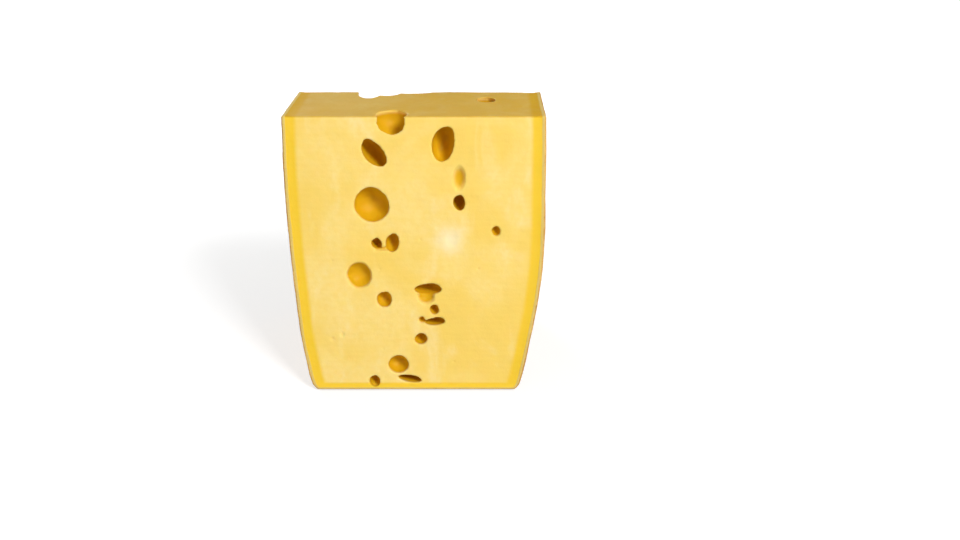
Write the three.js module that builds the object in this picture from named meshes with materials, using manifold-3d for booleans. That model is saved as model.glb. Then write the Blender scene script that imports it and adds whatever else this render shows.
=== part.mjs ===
// A wedge of large-eyed hard cheese, standing on its rim.
//
// The wedge is a narrow sector of a cheese wheel. The wheel's axle line runs along X, so its two domed
// faces are the wedge's left and right sides, and its rim is the underside. The front and the back are
// radial cuts that draw together towards the wheel's centre, and the top is a level cut across them. Rind
// covers the sides and the underside. The eyes are gas bubbles that the cuts have opened.
//
// Millimetres, +Z up, front towards -Y, origin in the middle of the underside.

import * as THREE from "three";
import { mergeVertices } from "three/addons/utils/BufferGeometryUtils.js";
import Module from "manifold-3d";

const WHEEL_RADIUS = 484;
const WHEEL_SEGMENTS = 72;
const SETTLED = 6.3; // how far the rim has flattened under the wedge's own weight
const HEIGHT = 237; // from the underside to the top cut
const TOP_DEPTH = 87; // front to back, at the top cut
const CUTTER_WIDTH = 300; // wider than the wheel is thick

const AXIS_HEIGHT = WHEEL_RADIUS - SETTLED;
const CUT_SLOPE = TOP_DEPTH / 2 / (AXIS_HEIGHT - HEIGHT); // run of a radial cut for each unit of drop
const CUT_ANGLE = Math.atan(CUT_SLOPE);
const BASE_DEPTH = 2 * AXIS_HEIGHT * CUT_SLOPE;

// Half the wheel's thickness at a distance from its axle line, from the top cut out to the rim.
const LEFT_SIDE = [
  [245, 110.5],
  [300, 110.5],
  [350, 108.5],
  [400, 105],
  [440, 101.5],
  [462, 97.5],
  [474, 95],
  [481, 92],
  [WHEEL_RADIUS, 88.5],
];
const RIGHT_SIDE = [
  [245, 110],
  [300, 110.5],
  [350, 110.2],
  [375, 108.9],
  [400, 106],
  [420, 102.8],
  [440, 99],
  [462, 94.5],
  [474, 91.5],
  [481, 88.5],
  [WHEEL_RADIUS, 85],
];
const SIDE_STEPS = 11;

// Eyes on the front and back cuts: where the mouth's middle is, across and up from the underside, how wide
// and tall the mouth is, and how far it leans, in degrees to the left. sink is how deep the bubble's middle
// lies behind the cut, as a share of its radius: below 0 the cut has left only a shallow dish. reach
// stretches the bubble inwards.
const FRONT_EYES = [
  { x: -34, z: 206, width: 14, height: 25, lean: 38, sink: 0.55, reach: 1.3 },
  { x: 24, z: 213.5, width: 17, height: 28, lean: -14, sink: 0.45, reach: 1.2 },
  { x: 37, z: 185, width: 12, height: 24, lean: -4, sink: -0.15, reach: 0.8 },
  { x: 37, z: 165, width: 8.5, height: 12, lean: 0, sink: 0.6, reach: 2 },
  { x: -37, z: 163, width: 29, height: 29, lean: 20, sink: 0.2, reach: 1 },
  { x: -33.5, z: 130.5, width: 7.5, height: 8, lean: 10, sink: 0.6, reach: 2 },
  { x: -20, z: 131, width: 10, height: 14.5, lean: -12, sink: 0.5, reach: 1.4 },
  { x: -27, z: 126, width: 18, height: 3.5, lean: 8, sink: 0.1, reach: 0.9 },
  { x: -49, z: 103, width: 22, height: 23, lean: 0, sink: 0.05, reach: 0.9 },
  { x: -28, z: 82, width: 12, height: 13, lean: -15, sink: 0.4, reach: 1.3 },
  { x: 10, z: 91, width: 21, height: 9, lean: 3, sink: 0.5, reach: 1.4 },
  { x: 8, z: 84, width: 15, height: 12, lean: 0, sink: 0.15, reach: 0.9 },
  { x: 15, z: 73, width: 7, height: 8, lean: 0, sink: 0.5, reach: 1.8 },
  { x: 15.5, z: 62.5, width: 16, height: 6.5, lean: 6, sink: 0.5, reach: 1.8 },
  { x: 4, z: 64, width: 5, height: 5, lean: 0, sink: 0.5, reach: 1.8 },
  { x: 3, z: 47, width: 10, height: 9, lean: 25, sink: 0.5, reach: 1.6 },
  { x: -17, z: 24, width: 17, height: 15.5, lean: 15, sink: 0.35, reach: 1.1 },
  { x: -38, z: 9, width: 8.5, height: 9.5, lean: 0, sink: 0.5, reach: 1.6 },
  { x: -7, z: 11, width: 19, height: 6, lean: -8, sink: 0.5, reach: 1.7 },
  { x: 68, z: 141, width: 6.5, height: 7.5, lean: 0, sink: 0.5, reach: 1.6 },
  { x: -74, z: 47, width: 7, height: 6.5, lean: 0, sink: -0.15, reach: 0.8 },
  { x: -65, z: 51, width: 5.5, height: 7, lean: 10, sink: -0.15, reach: 0.8 },
  { x: 30, z: 135, width: 20, height: 24, lean: 0, sink: -0.85, reach: 0.6 },
];
const BACK_EYES = [
  { x: 22, z: 199, width: 24, height: 22, lean: 25, sink: 0.3, reach: 1 },
  { x: 48, z: 208, width: 9, height: 12, lean: 0, sink: 0.4, reach: 1.3 },
  { x: -6, z: 171, width: 16, height: 19, lean: -20, sink: 0.1, reach: 1 },
  { x: 33, z: 163, width: 12, height: 10, lean: 0, sink: 0.45, reach: 1.3 },
  { x: -38, z: 175, width: 8, height: 8, lean: 0, sink: 0.1, reach: 1 },
  { x: 8, z: 142, width: 27, height: 24, lean: 10, sink: 0.25, reach: 1 },
  { x: -31, z: 140, width: 13, height: 17, lean: 30, sink: 0.5, reach: 1.1 },
  { x: 40, z: 127, width: 19, height: 21, lean: 0, sink: -0.75, reach: 0.7 },
  { x: -12, z: 111, width: 12, height: 11, lean: 0, sink: 0.35, reach: 1.2 },
  { x: 20, z: 100, width: 15, height: 21, lean: -30, sink: 0.2, reach: 1 },
  { x: -40, z: 99, width: 22, height: 20, lean: 15, sink: 0.1, reach: 0.95 },
  { x: -4, z: 79, width: 9, height: 7, lean: 0, sink: 0.4, reach: 1.4 },
  { x: 30, z: 69, width: 11, height: 13, lean: 20, sink: 0.3, reach: 1.2 },
  { x: -22, z: 59, width: 19, height: 16, lean: -10, sink: 0.3, reach: 1 },
  { x: 7, z: 45, width: 13, height: 9, lean: 5, sink: 0.2, reach: 1.1 },
  { x: -8, z: 25, width: 10, height: 12, lean: 0, sink: 0.35, reach: 1.2 },
  { x: 76, z: 65, width: 5, height: 6, lean: 0, sink: 0.3, reach: 1.3 },
];
// Eyes that the top cut has opened, and those that lie across one of its long edges: middle and radii.
const TOP_EYES = [
  { middle: [60, 13, 231], radii: [9.5, 9.5, 9] },
  { middle: [-19, -34, 230], radii: [14, 14, 14] },
  { middle: [-44, 42, 232], radii: [11, 23, 14] },
  { middle: [-29, 43, 233], radii: [13, 15, 11] },
  { middle: [-8, 44, 235], radii: [20, 7, 7] },
];

// Facets along each edge of an eye's bubble, less one, by the longest measure of its mouth.
const LARGE_EYE = { from: 21, detail: 3 };
const MEDIUM_EYE = { from: 10, detail: 2 };
const SMALL_EYE_DETAIL = 1;
const LUMPINESS = 0.045; // how far a bubble's wall strays from a true ellipsoid, as a share of its radius

const wasm = await Module();
wasm.setup();

function solidOf(geometry) {
  const bare = geometry.clone();
  bare.deleteAttribute("normal");
  bare.deleteAttribute("uv");
  const merged = mergeVertices(bare, 1e-3);
  return new wasm.Manifold(
    new wasm.Mesh({
      numProp: 3,
      vertProperties: merged.attributes.position.array,
      triVerts: new Uint32Array(merged.index.array),
    }),
  );
}

function geometryOf(solid) {
  const mesh = solid.getMesh();
  const geometry = new THREE.BufferGeometry();
  geometry.setAttribute("position", new THREE.BufferAttribute(mesh.vertProperties, 3));
  geometry.setIndex(new THREE.BufferAttribute(mesh.triVerts, 1));
  geometry.computeVertexNormals();
  return geometry;
}

// The side's outline as a smooth curve of points [distance from the axle line, distance along it].
function sideCurve(side, sign) {
  const points = side.map(([radius, half]) => new THREE.Vector2(radius, sign * half));
  return new THREE.SplineCurve(points).getPoints(SIDE_STEPS);
}

function wheel() {
  const left = sideCurve(LEFT_SIDE, -1);
  const right = sideCurve(RIGHT_SIDE, 1);
  const outline = [
    new THREE.Vector2(0, left[0].y),
    ...left,
    ...right.reverse(),
    new THREE.Vector2(0, right.at(-1).y),
  ];
  return new THREE.LatheGeometry(outline, WHEEL_SEGMENTS)
    .rotateZ(-Math.PI / 2)
    .translate(0, 0, AXIS_HEIGHT);
}

// Everything between the two radial cuts, from the underside to the top cut.
function sector() {
  const outline = new THREE.Shape([
    new THREE.Vector2(-BASE_DEPTH / 2, 0),
    new THREE.Vector2(BASE_DEPTH / 2, 0),
    new THREE.Vector2(TOP_DEPTH / 2, HEIGHT),
    new THREE.Vector2(-TOP_DEPTH / 2, HEIGHT),
  ]);
  return new THREE.ExtrudeGeometry(outline, { depth: CUTTER_WIDTH, bevelEnabled: false })
    .translate(0, 0, -CUTTER_WIDTH / 2)
    .rotateY(Math.PI / 2)
    .rotateX(Math.PI / 2);
}

function bubbleDetail(size) {
  if (size >= LARGE_EYE.from) return LARGE_EYE.detail;
  if (size >= MEDIUM_EYE.from) return MEDIUM_EYE.detail;
  return SMALL_EYE_DETAIL;
}

// A bubble of unit radius whose wall swells and dips gently, in a different way for each phase.
function bubble(size, phase) {
  const geometry = new THREE.IcosahedronGeometry(1, bubbleDetail(size));
  const position = geometry.attributes.position;
  const point = new THREE.Vector3();
  for (let i = 0; i < position.count; i++) {
    point.fromBufferAttribute(position, i);
    const across = Math.sin(2.1 * point.x + 1.7 * point.z + phase);
    const along = Math.sin(2.6 * point.z - 1.9 * point.y + 2 * phase);
    point.multiplyScalar(1 + LUMPINESS * (across + along));
    position.setXYZ(i, point.x, point.y, point.z);
  }
  return geometry;
}

// facing is -1 on the front cut and 1 on the back cut.
function cutFaceEye(eye, facing, phase) {
  const widening = 1 / Math.sqrt(1 - eye.sink ** 2);
  const halfWidth = (eye.width / 2) * widening;
  const halfHeight = (eye.height / 2) * widening;
  const inward = ((eye.width + eye.height) / 4) * widening * eye.reach;
  const surface = facing * (AXIS_HEIGHT - eye.z) * CUT_SLOPE;
  return bubble(Math.max(eye.width, eye.height), phase)
    .scale(halfWidth, inward, halfHeight)
    .rotateY(THREE.MathUtils.degToRad(-eye.lean))
    .translate(0, -facing * eye.sink * inward, 0)
    .rotateX(facing * CUT_ANGLE)
    .translate(eye.x, surface, eye.z);
}

function topEye(eye, phase) {
  return bubble(2 * Math.max(...eye.radii), phase)
    .scale(...eye.radii)
    .translate(...eye.middle);
}

function eyes() {
  return [
    ...FRONT_EYES.map((eye, i) => cutFaceEye(eye, -1, i)),
    ...BACK_EYES.map((eye, i) => cutFaceEye(eye, 1, i + FRONT_EYES.length)),
    ...TOP_EYES.map((eye, i) => topEye(eye, i)),
  ];
}

function wedge() {
  let solid = solidOf(wheel()).intersect(solidOf(sector()));
  for (const eye of eyes()) solid = solid.subtract(solidOf(eye));
  return geometryOf(solid);
}

function centredAcross(geometry) {
  geometry.computeBoundingBox();
  const { min, max } = geometry.boundingBox;
  return geometry.translate(-(min.x + max.x) / 2, 0, 0);
}

const paste = new THREE.MeshStandardMaterial({ color: 0xf3cf74, roughness: 0.55, metalness: 0 });

const cheese = new THREE.Mesh(centredAcross(wedge()), paste);
cheese.name = "cheese_wedge";

const part = new THREE.Group();
part.add(cheese);

export default part;
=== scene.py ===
"""A wedge of large-eyed hard cheese, standing on its rim in a plain white studio."""

import math
import random
from typing import NamedTuple

import bmesh
import bpy
import numpy as np
from mathutils import Matrix, Vector
from mathutils.bvhtree import BVHTree


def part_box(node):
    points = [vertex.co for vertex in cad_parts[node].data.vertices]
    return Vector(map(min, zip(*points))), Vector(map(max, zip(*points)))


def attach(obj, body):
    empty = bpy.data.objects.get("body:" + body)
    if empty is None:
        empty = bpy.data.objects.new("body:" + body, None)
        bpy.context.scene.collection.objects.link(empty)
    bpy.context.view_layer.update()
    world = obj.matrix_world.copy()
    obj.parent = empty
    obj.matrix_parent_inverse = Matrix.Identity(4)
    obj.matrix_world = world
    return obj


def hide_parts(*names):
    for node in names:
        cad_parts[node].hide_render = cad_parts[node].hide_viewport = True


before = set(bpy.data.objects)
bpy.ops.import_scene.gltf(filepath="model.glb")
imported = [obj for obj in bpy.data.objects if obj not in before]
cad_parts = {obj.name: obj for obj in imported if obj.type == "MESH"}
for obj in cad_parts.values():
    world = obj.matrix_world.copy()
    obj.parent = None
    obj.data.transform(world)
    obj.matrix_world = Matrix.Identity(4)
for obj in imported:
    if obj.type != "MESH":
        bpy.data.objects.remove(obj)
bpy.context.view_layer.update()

LOW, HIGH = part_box("cheese_wedge")
MM = 0.001

# The wheel that the wedge was cut from: its axle line runs along X, above the wedge.
WHEEL_RADIUS = 484 * MM
SETTLED = 6.3 * MM  # how far the rim has flattened
AXLE = Vector((0, 0, WHEEL_RADIUS - SETTLED))
CUT_ANGLE = math.asin(HIGH.y / WHEEL_RADIUS)  # between the upright and either radial cut
CUT_SLOPE = math.tan(CUT_ANGLE)
INNER_RADIUS = 236 * MM  # just above the top cut

# Half the wheel's thickness, in mm, at a distance from its axle line.
LEFT_SIDE = [
    (236, 110.5), (300, 110.5), (350, 108.5), (400, 105), (440, 101.5), (462, 97.5), (474, 95), (481, 92),
    (484, 88.5),
]
RIGHT_SIDE = [
    (236, 110), (300, 110.5), (350, 110.2), (375, 108.9), (400, 106), (420, 102.8), (440, 99), (462, 94.5),
    (474, 91.5), (481, 88.5), (484, 85),
]
PROFILE_ROWS = 40  # in the outline of a radial cut
ROW_CROWDING = 1.6  # over 1 draws the rows together towards the rim
SPIN_STEPS = 14  # from the front cut to the back one

# How fine the mesh is.
SKIN_VOXEL = 1.1 * MM
BUBBLE_VOXEL = 0.6 * MM
CHEESE_VOXEL = 0.85 * MM
SMOOTH_ROUNDS = 4
FLOOR_GAP = 0.02 * MM  # keeps the underside off the floor's own plane
TRIANGLES = 190_000


class Eye(NamedTuple):
    """A gas bubble that a radial cut has opened. Its measures are in mm.

    across and up place the middle of its mouth, width and height are the mouth's size, and lean is its lean
    to the left, in degrees. reach is the bubble's radius into the cheese, as a share of the mean of its other
    two. sink is how deep its middle lies, as a share of that radius, and is under 0 where it lies outside.
    """

    across: float
    up: float
    width: float
    height: float
    lean: float
    sink: float
    reach: float


FRONT_EYES = [
    Eye(-34, 206, 14, 25, 38, 0.55, 1.3),
    Eye(24, 213.5, 17, 28, -14, 0.45, 1.2),
    Eye(37, 185, 12, 24, -4, -0.15, 0.8),
    Eye(37, 165, 8.5, 12, 0, 0.6, 2),
    Eye(-37, 163, 29, 29, 20, 0.2, 1),
    Eye(-33.5, 130.5, 7.5, 8, 10, 0.6, 2),
    Eye(-20, 131, 10, 14.5, -12, 0.5, 1.4),
    Eye(-27, 126, 18, 3.5, 8, 0.1, 0.9),
    Eye(-49, 103, 22, 23, 0, 0.05, 0.9),
    Eye(-28, 82, 12, 13, -15, 0.4, 1.3),
    Eye(10, 91, 21, 9, 3, 0.5, 1.4),
    Eye(8, 84, 15, 12, 0, 0.15, 0.9),
    Eye(15, 73, 7, 8, 0, 0.5, 1.8),
    Eye(15.5, 62.5, 16, 6.5, 6, 0.5, 1.8),
    Eye(4, 64, 5, 5, 0, 0.5, 1.8),
    Eye(3, 47, 10, 9, 25, 0.5, 1.6),
    Eye(-17, 24, 17, 15.5, 15, 0.35, 1.1),
    Eye(-38, 9, 8.5, 9.5, 0, 0.5, 1.6),
    Eye(-7, 11, 19, 6, -8, 0.5, 1.7),
    Eye(68, 141, 6.5, 7.5, 0, 0.5, 1.6),
    Eye(-74, 47, 7, 6.5, 0, -0.15, 0.8),
    Eye(-65, 51, 5.5, 7, 10, -0.15, 0.8),
    Eye(30, 135, 20, 24, 0, -0.85, 0.6),
]
BACK_EYES = [
    Eye(22, 199, 24, 22, 25, 0.3, 1),
    Eye(48, 208, 9, 12, 0, 0.4, 1.3),
    Eye(-6, 171, 16, 19, -20, 0.1, 1),
    Eye(33, 163, 12, 10, 0, 0.45, 1.3),
    Eye(-38, 175, 8, 8, 0, 0.1, 1),
    Eye(8, 142, 27, 24, 10, 0.25, 1),
    Eye(-31, 140, 13, 17, 30, 0.5, 1.1),
    Eye(40, 127, 19, 21, 0, -0.75, 0.7),
    Eye(-12, 111, 12, 11, 0, 0.35, 1.2),
    Eye(20, 100, 15, 21, -30, 0.2, 1),
    Eye(-40, 99, 22, 20, 15, 0.1, 0.95),
    Eye(-4, 79, 9, 7, 0, 0.4, 1.4),
    Eye(30, 69, 11, 13, 20, 0.3, 1.2),
    Eye(-22, 59, 19, 16, -10, 0.3, 1),
    Eye(7, 45, 13, 9, 5, 0.2, 1.1),
    Eye(-8, 25, 10, 12, 0, 0.35, 1.2),
    Eye(76, 65, 5, 6, 0, 0.3, 1.3),
]
# Bubbles that the top cut has opened, or that lie across one of its long edges: middle and radii, in mm.
TOP_BUBBLES = [
    ((60, 13, 231), (9.5, 9.5, 9)),
    ((-19, -34, 230), (14, 14, 14)),
    ((-44, 42, 232), (11, 23, 14)),
    ((-29, 43, 233), (13, 15, 11)),
    ((-8, 44, 235), (20, 7, 7)),
]
SEED = 7
PINHOLES = 16  # on each radial cut
PINHOLE_UP = (14, 222)  # mm
PINHOLE_ACROSS = (-78, 78)  # mm
PINHOLE_SIZES = (1.4, 2.6)  # mm
PINHOLE_STRETCH = (0.8, 1.5)
PINHOLE_LEAN = (-30, 30)  # degrees
SHRINKAGE = 0.5 * MM  # how far the cut paste has dried back from the rind
SHRINKAGE_START = (2 * MM, 9 * MM)  # in from the rind: none at the first, and all of it from the second
WEAR_START = (0.5 * MM, 8 * MM)  # above the floor, in the same way
RIM_RIND = 2  # how many times thinner the rind and its deeper yellow are at the rim than on the sides
LUMPINESS = 0.16  # how far a bubble's wall strays from an ellipsoid, as a share of its radius

# The pale patch on the front cut: a painted highlight on a shallow dish.
GLINT_PLACE = (30 * MM, -62 * MM, 134 * MM)
GLINT_EDGE = (24 * MM, 4 * MM)  # from its middle: where it starts, and where it is full
GLINT_RAGGED = 9 * MM
GLINT_STRENGTH = 0.7

# The camera stands in front and a little to the right, and looks down on the wedge.
CAMERA_PLACE = (0.0545, -0.8155, 0.440)  # metres
CAMERA_TILT = 23.9  # degrees below the horizon
CAMERA_LENS = 36  # mm, on a sensor as wide

FLOOR_WIDTH = 30  # metres
FLOOR_GREY = 0.5
FLOOR_FADE = (0.2, 1.2)  # metres from the middle
FLOOR_GLOW = (0.62, 0.9)  # at the start of the fade and at its end
STUDIO_GLOW = 0.17  # how strongly the white studio lights the wedge; the camera sees it at 1
LIGHT_DISTANCE = 3  # metres
# Name, azimuth and elevation in degrees, width in metres, power in watts.
SOFTBOXES = [
    ("key", 36, 37, 0.8, 81),
    ("fill", -40, 8, 1.5, 14),
    ("back", 215, 18, 1.5, 48),
]


def deselect():
    bpy.ops.object.select_all(action="DESELECT")


def only(obj):
    """Makes obj the one selected and active object."""
    deselect()
    obj.select_set(True)
    bpy.context.view_layer.objects.active = obj


def finish_with(obj, kind, **settings):
    """Adds a modifier and applies it."""
    only(obj)
    modifier = obj.modifiers.new(kind.lower(), kind)
    for name, value in settings.items():
        setattr(modifier, name, value)
    bpy.ops.object.modifier_apply(modifier=modifier.name)


def duplicate(obj, name):
    only(obj)
    bpy.ops.object.duplicate()
    copy = bpy.context.object
    copy.name = name
    return copy


# ---------------------------------------------------------------- camera, floor and light


def add_camera():
    deselect()
    tilt = math.radians(90 - CAMERA_TILT)
    bpy.ops.object.camera_add(location=CAMERA_PLACE, rotation=(tilt, 0, 0))
    camera = bpy.context.object
    camera.data.lens = CAMERA_LENS
    camera.data.sensor_width = CAMERA_LENS
    bpy.context.scene.camera = camera


def floor_finish():
    """Grey card with a glow that only the camera sees, so it looks white but lights the wedge little."""
    material = bpy.data.materials.new("white card")
    material.use_nodes = True
    tree = material.node_tree
    card = tree.nodes["Principled BSDF"]
    card.inputs["Base Color"].default_value = (FLOOR_GREY, FLOOR_GREY, FLOOR_GREY, 1)
    card.inputs["Roughness"].default_value = 0.75
    card.inputs["Emission Color"].default_value = (1, 1, 1, 1)
    at = node(tree, "ShaderNodeTexCoord").outputs["Object"]
    away = node(tree, "ShaderNodeVectorMath", {0: at}, operation="LENGTH").outputs["Value"]
    seen = node(tree, "ShaderNodeLightPath").outputs["Is Camera Ray"]
    glow = maths(tree, "MULTIPLY", ramp(tree, away, *FLOOR_FADE, *FLOOR_GLOW), seen)
    tree.links.new(glow, card.inputs["Emission Strength"])
    return material


def add_floor():
    deselect()
    bpy.ops.mesh.primitive_plane_add(size=FLOOR_WIDTH)
    floor = bpy.context.object
    floor.name = "floor"
    floor.data.materials.append(floor_finish())


def add_softbox(name, azimuth, elevation, size, power):
    """A square softbox that looks at the wedge's middle. Azimuth 0 is in front and 90 to the right."""
    across, up = math.radians(azimuth), math.radians(elevation)
    towards = Vector((math.sin(across) * math.cos(up), -math.cos(across) * math.cos(up), math.sin(up)))
    middle = (LOW + HIGH) / 2
    deselect()
    bpy.ops.object.light_add(type="AREA", location=middle + towards * LIGHT_DISTANCE)
    light = bpy.context.object
    light.name = name
    light.rotation_euler = towards.to_track_quat("Z", "Y").to_euler()
    light.data.size = size
    light.data.energy = power


def add_light():
    for softbox in SOFTBOXES:
        add_softbox(*softbox)
    scene = bpy.context.scene
    world = bpy.data.worlds.new("white studio")
    world.use_nodes = True
    background = world.node_tree.nodes["Background"]
    background.inputs["Color"].default_value = (1, 1, 1, 1)
    seen = node(world.node_tree, "ShaderNodeLightPath").outputs["Is Camera Ray"]
    glow = ramp(world.node_tree, seen, 0, 1, STUDIO_GLOW, 1)
    world.node_tree.links.new(glow, background.inputs["Strength"])
    scene.world = world
    scene.view_settings.view_transform = "Standard"


# ---------------------------------------------------------------- finishes


def node(tree, kind, inputs=None, **settings):
    """Adds a node. Each input is a value, or the output socket that feeds it."""
    made = tree.nodes.new(kind)
    for name, value in settings.items():
        setattr(made, name, value)
    for name, value in (inputs or {}).items():
        if isinstance(value, bpy.types.NodeSocket):
            tree.links.new(value, made.inputs[name])
        else:
            made.inputs[name].default_value = value
    return made


def noise(tree, at, scale, detail=3, distortion=0):
    """Noise from 0 to 1, of about scale lumps to a metre."""
    inputs = {"Vector": at, "Scale": scale, "Detail": detail, "Distortion": distortion}
    return node(tree, "ShaderNodeTexNoise", inputs).outputs["Fac"]


def ramp(tree, value, start, end, low=0, high=1):
    """low where value is at start, high at end, and a smooth step between."""
    inputs = {"Value": value, "From Min": start, "From Max": end, "To Min": low, "To Max": high}
    return node(tree, "ShaderNodeMapRange", inputs, interpolation_type="SMOOTHSTEP").outputs["Result"]


def maths(tree, operation, first, second):
    made = node(tree, "ShaderNodeMath", {0: first, 1: second}, operation=operation)
    return made.outputs["Value"]


def blend(tree, amount, first, second, mode="MIX"):
    """first where amount is 0 and second where it is 1."""
    made = node(tree, "ShaderNodeMix", data_type="RGBA", blend_type=mode)
    for name, value in (("Factor_Float", amount), ("A_Color", first), ("B_Color", second)):
        socket = next(s for s in made.inputs if s.identifier == name)
        if isinstance(value, bpy.types.NodeSocket):
            tree.links.new(value, socket)
        else:
            socket.default_value = value
    return next(s for s in made.outputs if s.identifier == "Result_Color")


def mix(tree, amount, first, second):
    """The number first where amount is 0 and second where it is 1."""
    made = node(tree, "ShaderNodeMix", {0: amount, 2: first, 3: second}, data_type="FLOAT")
    return made.outputs[0]


def bands(tree, at, direction, pitch, distortion):
    """Soft ridges, pitch metres apart, across the X, Y or Z direction."""
    # At a scale of 1 a wave texture repeats every pi / 10 metres.
    inputs = {"Vector": at, "Scale": math.pi / 10 / pitch, "Distortion": distortion, "Detail": 2}
    made = node(tree, "ShaderNodeTexWave", inputs, bands_direction=direction)
    return made.outputs["Fac"]


def srgb(red, green, blue):
    """A colour given as it looks on a screen, 0 to 255, as the shader wants it."""
    parts = (value / 255 for value in (red, green, blue))
    return (*((p / 12.92 if p < 0.04045 else ((p + 0.055) / 1.055) ** 2.4) for p in parts), 1)


CREAM = srgb(248, 218, 132)
BUTTER = srgb(244, 209, 104)
PALE = srgb(250, 228, 168)
# painted highlight: the near-white of the pale patch on the front cut
GLINT = srgb(253, 238, 200)
NEAR_RIND = srgb(242, 201, 56)
PAINTED_TOP_SHADE = (0.79, 0.68, 0.4, 1)  # painted shade: how much of each colour the top cut keeps, darkened as if it caught less light
PAINTED_TOP_SHADE_DEPTH = (3 * MM, 1.6 * MM)  # below the top cut: where the painted shade starts, and where it is full
NEAR_RIND_DEPTH = (15 * MM, 10 * MM)  # in from the rind's outside, in the same way
# Painted shade: eye walls turn a deep orange-brown with depth, standing in for the shade and warm bounce
# light inside the bubbles.
EYE_PAINTED_SHADE = srgb(217, 167, 16)
EYE_SHADE_DEPTH = (1.2 * MM, 4.5 * MM)  # below the skin: where the painted shade in the eyes starts, and where it is full
RIND_PALE = srgb(221, 172, 92)
RIND_DARK = srgb(190, 138, 66)
RIND_RUBBED = srgb(233, 196, 128)
RIND_SPECK = srgb(142, 94, 46)
RIND_INSIDE = srgb(220, 192, 110)
RIND_DEPTH = (5.2 * MM, 4.2 * MM)  # where the paste ends and the rind starts, less a part of RIND_RAGGED
RIND_RAGGED = 0.9 * MM
RIND_INSIDE_DEPTH = (1.8 * MM, 2.6 * MM)
CLOTH_PITCH = 2.6 * MM
STREAK_STRETCH = (1, 1, 0.4)  # makes the pale streaks 2.5 times as tall as they are wide
PASTE_ROUGHNESS = (0.46, 0.6)
RIND_ROUGHNESS = 0.66


def painted_glint(tree, at):
    """A painted highlight: a pale patch on the front cut, ragged at its edge."""
    distance = node(tree, "ShaderNodeVectorMath", {0: at, 1: GLINT_PLACE}, operation="DISTANCE")
    ragged = maths(tree, "MULTIPLY", noise(tree, at, 90, 4), GLINT_RAGGED)
    away = maths(tree, "ADD", distance.outputs["Value"], ragged)
    return ramp(tree, away, *GLINT_EDGE, 0, GLINT_STRENGTH)


def paste_colour(tree, at, from_rind):
    """Pale paste with clouds of butter yellow, more to the right, deeper near the rind, and darkened on top
    by painted shade.
    """
    place = node(tree, "ShaderNodeSeparateXYZ", {0: at}).outputs
    lean = ramp(tree, place["X"], LOW.x, HIGH.x, -0.07, 0.1)
    buttery = ramp(tree, maths(tree, "ADD", noise(tree, at, 16, 4, 0.4), lean), 0.38, 0.64)
    colour = blend(tree, buttery, CREAM, BUTTER)
    upright = node(tree, "ShaderNodeVectorMath", {0: at, 1: STREAK_STRETCH}, operation="MULTIPLY")
    streaks = ramp(tree, noise(tree, upright.outputs["Vector"], 38, 6, 0.8), 0.5, 0.72, 0, 0.5)
    colour = blend(tree, streaks, colour, PALE)
    flecks = ramp(tree, noise(tree, at, 210, 5), 0.35, 0.7, 0, 0.35)
    colour = blend(tree, flecks, colour, BUTTER)
    # painted highlight: a pale patch on the front cut
    colour = blend(tree, painted_glint(tree, at), colour, GLINT)
    colour = blend(tree, ramp(tree, from_rind, *NEAR_RIND_DEPTH), colour, NEAR_RIND)
    # painted shade: the top cut is darkened, standing in for the weaker light it gets
    top_shade = ramp(tree, place["Z"], *(HIGH.z - depth for depth in PAINTED_TOP_SHADE_DEPTH))
    return blend(tree, top_shade, colour, PAINTED_TOP_SHADE, "MULTIPLY")


def rind_colour(tree, at, from_rind):
    """Tan rind with soft mottling, paler where it has been rubbed, finely specked, and yellower inside."""
    mottle = ramp(tree, noise(tree, at, 13, 8), 0.32, 0.68)
    colour = blend(tree, mottle, RIND_PALE, RIND_DARK)
    rubbed = ramp(tree, noise(tree, at, 70, 6, 0.3), 0.48, 0.72, 0, 0.5)
    colour = blend(tree, rubbed, colour, RIND_RUBBED)
    specks = ramp(tree, noise(tree, at, 260, 3), 0.58, 0.7, 0, 0.45)
    colour = blend(tree, specks, colour, RIND_SPECK)
    return blend(tree, ramp(tree, from_rind, *RIND_INSIDE_DEPTH), colour, RIND_INSIDE)


def cut_texture(tree, at):
    """Height of a cut surface: soft curd, a fine grain, and the faint drag of the cheese wire."""
    curd = noise(tree, at, 110, 4)
    grain = maths(tree, "MULTIPLY", noise(tree, at, 700, 3), 0.35)
    drag = maths(tree, "MULTIPLY", bands(tree, at, "Z", 5 * MM, 3), 0.12)
    return maths(tree, "ADD", maths(tree, "ADD", curd, grain), drag)


def rind_texture(tree, at):
    """Height of the rind: shallow wrinkles, and the print of the cloth that the wheel was pressed in."""
    wrinkles = maths(tree, "MULTIPLY", noise(tree, at, 48, 7), 2)
    cloth = bands(tree, at, "X", CLOTH_PITCH, 1)
    for direction in "YZ":
        cloth = maths(tree, "ADD", cloth, bands(tree, at, direction, CLOTH_PITCH, 1))
    return maths(tree, "ADD", wrinkles, maths(tree, "MULTIPLY", cloth, 0.25))


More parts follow.
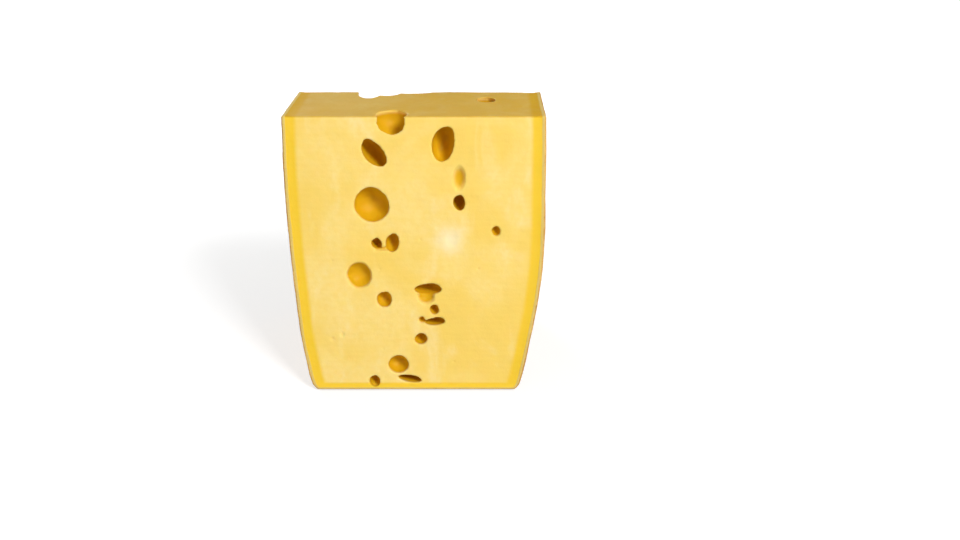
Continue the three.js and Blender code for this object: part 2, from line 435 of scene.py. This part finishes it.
def cheese_finish():
    material = bpy.data.materials.new("cheese")
    material.use_nodes = True
    tree = material.node_tree
    shader = tree.nodes["Principled BSDF"]
    at = node(tree, "ShaderNodeTexCoord").outputs["Object"]
    depth = node(tree, "ShaderNodeAttribute", attribute_name="depth").outputs["Fac"]
    from_rind = node(tree, "ShaderNodeAttribute", attribute_name="under_rind").outputs["Fac"]

    paste = paste_colour(tree, at, from_rind)
    # painted shade: deeper inside an eye, the paste turns to the shaded eye-wall colour
    in_eye_shaded = ramp(tree, depth, *EYE_SHADE_DEPTH)
    colour = blend(tree, in_eye_shaded, paste, EYE_PAINTED_SHADE)
    ragged = maths(tree, "MULTIPLY", noise(tree, at, 90, 3), RIND_RAGGED)
    rind = ramp(tree, maths(tree, "ADD", from_rind, ragged), *RIND_DEPTH)
    colour = blend(tree, rind, colour, rind_colour(tree, at, from_rind))
    tree.links.new(colour, shader.inputs["Base Color"])

    oily = ramp(tree, noise(tree, at, 45, 3), 0.3, 0.7, *PASTE_ROUGHNESS)
    tree.links.new(mix(tree, rind, oily, RIND_ROUGHNESS), shader.inputs["Roughness"])
    shader.inputs["Specular IOR Level"].default_value = 0.15
    shader.inputs["Subsurface Weight"].default_value = 0.25
    shader.inputs["Subsurface Radius"].default_value = (1, 0.6, 0.2)
    shader.inputs["Subsurface Scale"].default_value = 5 * MM

    height = mix(tree, in_eye_shaded, cut_texture(tree, at), noise(tree, at, 130, 2))
    height = mix(tree, rind, height, rind_texture(tree, at))
    bump = node(tree, "ShaderNodeBump", {"Height": height, "Strength": 0.5, "Distance": 0.7 * MM})
    tree.links.new(bump.outputs["Normal"], shader.inputs["Normal"])
    return material


# ---------------------------------------------------------------- the cheese's shape


def half_thickness(side, radius):
    """Half the wheel's thickness at radius, on a smooth curve through the side's points. All in metres."""
    radii, halves = (np.array(values) * MM for values in zip(*side))
    slopes = np.gradient(halves, radii)
    radius = np.asarray(radius, float)
    i = np.clip(np.searchsorted(radii, radius) - 1, 0, len(radii) - 2)
    gap = radii[i + 1] - radii[i]
    t = np.clip((radius - radii[i]) / gap, 0, 1)
    start = (1 + 2 * t) * (1 - t) ** 2 * halves[i] + t * (1 - t) ** 2 * gap * slopes[i]
    end = t * t * (3 - 2 * t) * halves[i + 1] + t * t * (t - 1) * gap * slopes[i + 1]
    return start + end


def select_where(obj, wanted):
    """In edit mode, selects the vertices that wanted accepts, with the edges and faces that they span."""
    mesh = bmesh.from_edit_mesh(obj.data)
    for vertex in mesh.verts:
        vertex.select = wanted(vertex.co)
    mesh.select_flush_mode()
    bmesh.update_edit_mesh(obj.data)


def profile_radii():
    """Distances from the axle line, closer together towards the rim, where the outline turns."""
    steps = np.linspace(1, 0, PROFILE_ROWS) ** ROW_CROWDING
    return WHEEL_RADIUS - (WHEEL_RADIUS - INNER_RADIUS) * steps


def radial_section():
    """The outline of a radial cut as one sheet, extruded row by row down to the rim, in the plane y = 0."""
    radii = profile_radii()
    left, right = half_thickness(LEFT_SIDE, radii), half_thickness(RIGHT_SIDE, radii)
    deselect()
    bpy.ops.mesh.primitive_plane_add(size=1, rotation=(math.pi / 2, 0, 0))
    sheet = bpy.context.object
    bpy.ops.object.transform_apply(location=True, rotation=True, scale=True)
    bpy.ops.object.mode_set(mode="EDIT")
    bpy.ops.mesh.select_mode(type="VERT")
    select_where(sheet, lambda at: at.z > 0)
    bpy.ops.mesh.delete(type="VERT")
    bpy.ops.mesh.select_all(action="SELECT")
    bpy.ops.transform.resize(value=(left[0] + right[0], 1, 1), center_override=(0, 0, 0))
    lift = AXLE.z - radii[0] + 0.5  # the edge that is left lies half a metre below the origin
    bpy.ops.transform.translate(value=((right[0] - left[0]) / 2, 0, lift))
    for i in range(1, len(radii)):
        middle = (right[i - 1] - left[i - 1]) / 2
        down = radii[i] - radii[i - 1]
        bpy.ops.mesh.extrude_region_move(TRANSFORM_OT_translate={"value": (0, 0, -down)})
        wider = (left[i] + right[i]) / (left[i - 1] + right[i - 1])
        bpy.ops.transform.resize(value=(wider, 1, 1), center_override=(middle, 0, 0))
        bpy.ops.transform.translate(value=((right[i] - left[i]) / 2 - middle, 0, 0))
    return sheet


def wheel_sector():
    """The sector of the wheel: the section, spun about the axle line from the front cut to the back one."""
    sector = radial_section()
    bpy.ops.mesh.select_all(action="SELECT")
    bpy.ops.transform.rotate(value=CUT_ANGLE, orient_axis="X", center_override=AXLE)
    bpy.ops.mesh.spin(steps=SPIN_STEPS, angle=-2 * CUT_ANGLE, center=AXLE, axis=(1, 0, 0))
    bpy.ops.mesh.select_all(action="SELECT")
    bpy.ops.mesh.remove_doubles(threshold=0.01 * MM)
    bpy.ops.mesh.fill_holes(sides=0)
    return sector


def plain_wedge():
    """The sector, cut level across the top and flattened underneath."""
    wedge = wheel_sector()
    for height, outwards in ((HIGH.z, 1), (LOW.z, -1)):
        bpy.ops.mesh.select_all(action="SELECT")
        bpy.ops.mesh.bisect(
            plane_co=(0, 0, height), plane_no=(0, 0, outwards), use_fill=True, clear_outer=True
        )
    bpy.ops.mesh.select_all(action="SELECT")
    bpy.ops.mesh.normals_make_consistent(inside=False)
    bpy.ops.object.mode_set(mode="OBJECT")
    wedge.name = "cheese"
    return wedge


def clouds(name, size, depth):
    texture = bpy.data.textures.new(name, "CLOUDS")
    texture.noise_scale = size
    texture.noise_depth = depth
    return texture


def wear(obj, name, size, depth, strength):
    """Lets all but the underside sink unevenly. It never rises, so the wedge stays within its box."""
    finish_with(
        obj,
        "DISPLACE",
        texture=clouds(name, size, depth),
        texture_coords="LOCAL",
        mid_level=1,
        strength=strength,
        vertex_group="free of the floor",
    )


def weigh(obj, name, weights):
    """Keeps a weight from 0 to 1 at each vertex, for a modifier to follow."""
    group = obj.vertex_groups.new(name=name)
    for index, weight in enumerate(weights):
        group.add([index], float(weight), "REPLACE")


def step_up(values, start, end):
    """0 up to start, 1 from end, and a smooth step between."""
    t = np.clip((values - start) / (end - start), 0, 1)
    return t * t * (3 - 2 * t)


def places(mesh):
    """The mesh's vertices as three arrays."""
    points = np.empty(len(mesh.vertices) * 3)
    mesh.vertices.foreach_get("co", points)
    return points.reshape(-1, 3).T


def under_rind(mesh):
    """How far in from the wheel's sides, its rim and the settled underside each vertex lies."""
    x, y, z = places(mesh)
    radius = np.hypot(y, z - AXLE.z)
    thickness = np.where(x < 0, half_thickness(LEFT_SIDE, radius), half_thickness(RIGHT_SIDE, radius))
    above_rim = np.minimum(WHEEL_RADIUS - radius, z - LOW.z)
    return np.minimum(thickness - np.abs(x), RIM_RIND * above_rim)


def age_skin(skin):
    """Shrinks the cut paste back from the rind a little, as if dried, and wears the whole skin uneven."""
    heights = places(skin.data)[2]
    off_floor = step_up(heights, *WEAR_START)
    weigh(skin, "free of the floor", off_floor)
    weigh(skin, "shrunk paste", step_up(under_rind(skin.data), *SHRINKAGE_START) * off_floor)
    finish_with(skin, "DISPLACE", mid_level=0, strength=-SHRINKAGE, vertex_group="shrunk paste")
    wear(skin, "slow swell", 60 * MM, 1, 1.2 * MM)
    wear(skin, "small dents", 14 * MM, 2, 0.6 * MM)


def bubble(turn):
    """A bubble of unit radius with a gently uneven wall, different for each turn."""
    deselect()
    bpy.ops.mesh.primitive_ico_sphere_add(subdivisions=5, radius=1)
    ball = bpy.context.object
    ball.data.transform(Matrix.Rotation(turn, 4, (1, 2, 3)))
    finish_with(
        ball,
        "DISPLACE",
        texture=clouds("bubble wall", 0.9, 1),
        texture_coords="LOCAL",
        mid_level=0.5,
        strength=LUMPINESS,
    )
    return ball


def opened_bubble(eye, facing, turn):
    """The bubble behind an eye's mouth. facing is -1 on the front cut and 1 on the back cut."""
    widening = 1 / math.sqrt(1 - eye.sink**2)
    half_width = eye.width / 2 * widening
    half_height = eye.height / 2 * widening
    inward = (eye.width + eye.height) / 4 * widening * eye.reach
    mouth = Vector((eye.across, facing * (AXLE.z / MM - eye.up) * CUT_SLOPE, eye.up))
    ball = bubble(turn)
    ball.data.transform(
        Matrix.Scale(MM, 4)
        @ Matrix.Translation(mouth)
        @ Matrix.Rotation(facing * CUT_ANGLE, 4, "X")
        @ Matrix.Translation((0, -facing * eye.sink * inward, 0))
        @ Matrix.Rotation(-math.radians(eye.lean), 4, "Y")
        @ Matrix.Diagonal((half_width, inward, half_height, 1))
    )
    return ball


def top_bubble(middle, radii, turn):
    ball = bubble(turn)
    ball.data.transform(
        Matrix.Scale(MM, 4) @ Matrix.Translation(middle) @ Matrix.Diagonal((*radii, 1))
    )
    return ball


def pinholes(draw):
    """Tiny eyes, scattered over a radial cut but clear of the rind."""
    holes = []
    for _ in range(PINHOLES):
        up = draw.uniform(*PINHOLE_UP)
        across = draw.uniform(*PINHOLE_ACROSS)
        size = draw.uniform(*PINHOLE_SIZES)
        stretch = draw.uniform(*PINHOLE_STRETCH)
        lean = draw.uniform(*PINHOLE_LEAN)
        holes.append(Eye(across, up, size * stretch, size, lean, sink=0.3, reach=1.4))
    return holes


def all_bubbles():
    """Every bubble as one clean solid, the ones that touch run together."""
    draw = random.Random(SEED)
    balls = []
    for facing, eyes in ((-1, FRONT_EYES), (1, BACK_EYES)):
        for eye in [*eyes, *pinholes(draw)]:
            balls.append(opened_bubble(eye, facing, draw.uniform(0, 6)))
    for middle, radii in TOP_BUBBLES:
        balls.append(top_bubble(middle, radii, draw.uniform(0, 6)))
    deselect()
    for ball in balls:
        ball.select_set(True)
    bpy.context.view_layer.objects.active = balls[0]
    bpy.ops.object.join()
    joined = bpy.context.object
    finish_with(joined, "REMESH", mode="VOXEL", voxel_size=BUBBLE_VOXEL)
    return joined


def note_depths(cheese, skin):
    """Keeps at each vertex how deep it lies below the uncut skin, and how far in from the rind, in metres."""
    tree = BVHTree.FromObject(skin, bpy.context.evaluated_depsgraph_get())
    depths = [tree.find_nearest(vertex.co)[3] for vertex in cheese.data.vertices]
    for name, values in (("depth", depths), ("under_rind", under_rind(cheese.data))):
        layer = cheese.data.attributes.new(name, "FLOAT", "POINT")
        layer.data.foreach_set("value", values)


def build_cheese():
    cheese = plain_wedge()
    finish_with(cheese, "REMESH", mode="VOXEL", voxel_size=SKIN_VOXEL)
    age_skin(cheese)
    skin = duplicate(cheese, "skin")
    bubbles = all_bubbles()
    finish_with(cheese, "BOOLEAN", object=bubbles, operation="DIFFERENCE", solver="MANIFOLD")
    finish_with(cheese, "REMESH", mode="VOXEL", voxel_size=CHEESE_VOXEL)
    finish_with(cheese, "SMOOTH", factor=0.5, iterations=SMOOTH_ROUNDS)
    faces = sum(len(face.vertices) - 2 for face in cheese.data.polygons)
    finish_with(cheese, "DECIMATE", ratio=min(1, TRIANGLES / faces))
    cheese.data.transform(Matrix.Translation((0, 0, FLOOR_GAP)))
    note_depths(cheese, skin)
    for helper in (skin, bubbles):
        bpy.data.objects.remove(helper)
    only(cheese)
    bpy.ops.object.shade_smooth()
    return cheese


add_camera()
add_floor()
add_light()
cheese = build_cheese()
cheese.data.materials.clear()
cheese.data.materials.append(cheese_finish())
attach(cheese, "root")
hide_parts("cheese_wedge")
